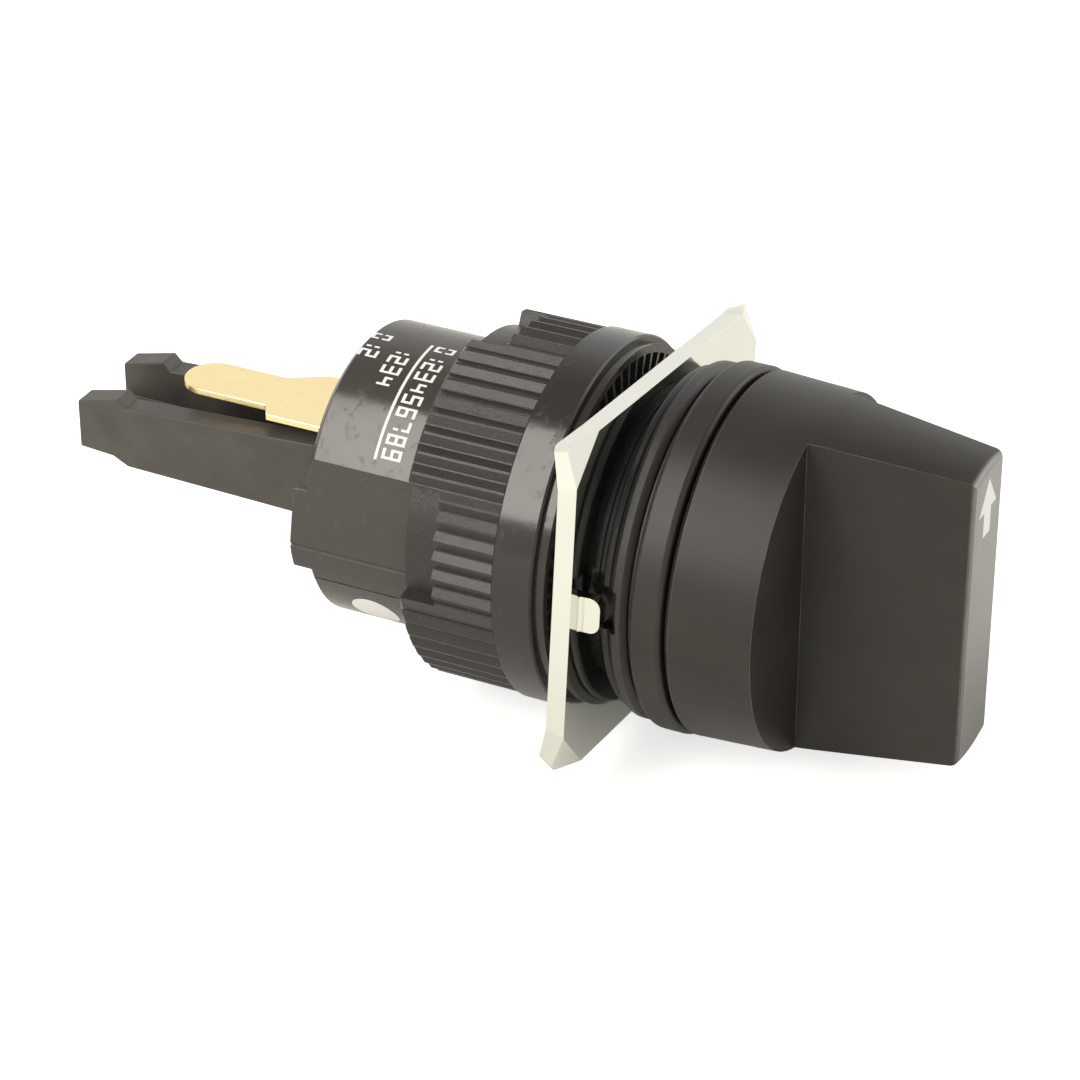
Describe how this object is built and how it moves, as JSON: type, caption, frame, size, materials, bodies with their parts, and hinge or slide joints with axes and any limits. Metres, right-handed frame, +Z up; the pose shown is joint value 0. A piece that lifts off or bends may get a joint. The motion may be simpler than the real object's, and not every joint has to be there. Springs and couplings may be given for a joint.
{
  "type": "selector switch",
  "caption": "Round knob-operated selector switch operator for a 16 mm panel hole, with lock plate, ribbed ring nut and a rear lamp terminal fork.",
  "frame": {"origin": "on the switch's axis, in the plane where the panel's front face meets the gasket", "axes": "+Y along the axis from the knob to the terminals, +Z up with the knob's pointer at twelve o'clock, +X to the right seen from the front"},
  "size_m": [0.0238, 0.0509, 0.0202],
  "materials": {
    "knob_plastic": "fine matte texture, warm black",
    "mark_white": "flat white infill",
    "shaft_plastic": "natural acetal",
    "seal_rubber": "black rubber",
    "housing_plastic": "moulded black, semi-gloss",
    "plate_metal": "bright plated sheet",
    "spring_steel": "plain",
    "carrier_plastic": "moulded black, satin",
    "terminal_gold": "gold plated"
  },
  "bodies": {
    "operator": {"bezel_ring": "knob_plastic", "barrel_housing": "housing_plastic", "panel_gasket": "seal_rubber", "thrust_washer": "shaft_plastic", "detent_ring": "shaft_plastic", "rear_insulator": "housing_plastic", "terminal_carrier": "carrier_plastic", "upper_lamp_terminal": "terminal_gold", "lower_lamp_terminal": "terminal_gold"},
    "selector": {"knob": "knob_plastic", "pointer_mark": "mark_white", "selector_shaft": "shaft_plastic", "shaft_o_ring": "seal_rubber", "cam_drum": "shaft_plastic", "retaining_clip": "spring_steel", "detent_spring": "spring_steel"},
    "left_detent": {"detent_pin_left": "spring_steel"},
    "right_detent": {"detent_pin_right": "spring_steel"},
    "left_rod": {"push_rod_left": "shaft_plastic"},
    "right_rod": {"push_rod_right": "shaft_plastic"},
    "plate": {"lock_plate": "plate_metal"},
    "nut": {"ring_nut": "housing_plastic"}
  },
  "joints": [
    {"name": "knob_turn", "type": "hinge", "parent": "operator", "child": "selector", "pos_m": [0, 0, 0], "axis": [0, 1, 0], "range_deg": [-45, 45]},
    {"name": "left_detent_slide", "type": "slide", "parent": "selector", "child": "left_detent", "axis": [1, 0, 0], "range_m": [0, 0.0004], "stiffness_N_per_m": 400, "springref_m": -0.0008},
    {"name": "right_detent_slide", "type": "slide", "parent": "selector", "child": "right_detent", "axis": [-1, 0, 0], "range_m": [0, 0.0004], "stiffness_N_per_m": 400, "springref_m": -0.0008},
    {"name": "right_rod_slide", "type": "slide", "parent": "operator", "child": "right_rod", "axis": [0, 1, 0], "range_m": [-0.00096, 0.00096]},
    {"name": "left_rod_slide", "type": "slide", "parent": "operator", "child": "left_rod", "axis": [0, 1, 0], "range_m": [-0.00096, 0.00096]},
    {"name": "plate_slide", "type": "slide", "parent": "operator", "child": "plate", "axis": [0, 1, 0], "range_m": [-0.00055, 0.004]},
    {"name": "nut_turn", "type": "hinge", "parent": "plate", "child": "nut", "pos_m": [0, 0, 0], "axis": [0, 1, 0], "range_deg": [-198.1, 1440.5]}
  ],
  "couplings": [
    {"joint": "right_rod_slide", "follows": "knob_turn", "m_per_rad": -0.00121},
    {"joint": "left_rod_slide", "follows": "knob_turn", "m_per_rad": 0.00121},
    {"joint": "nut_turn", "follows": "plate_slide", "rad_per_m": 6283.2}
  ]
}
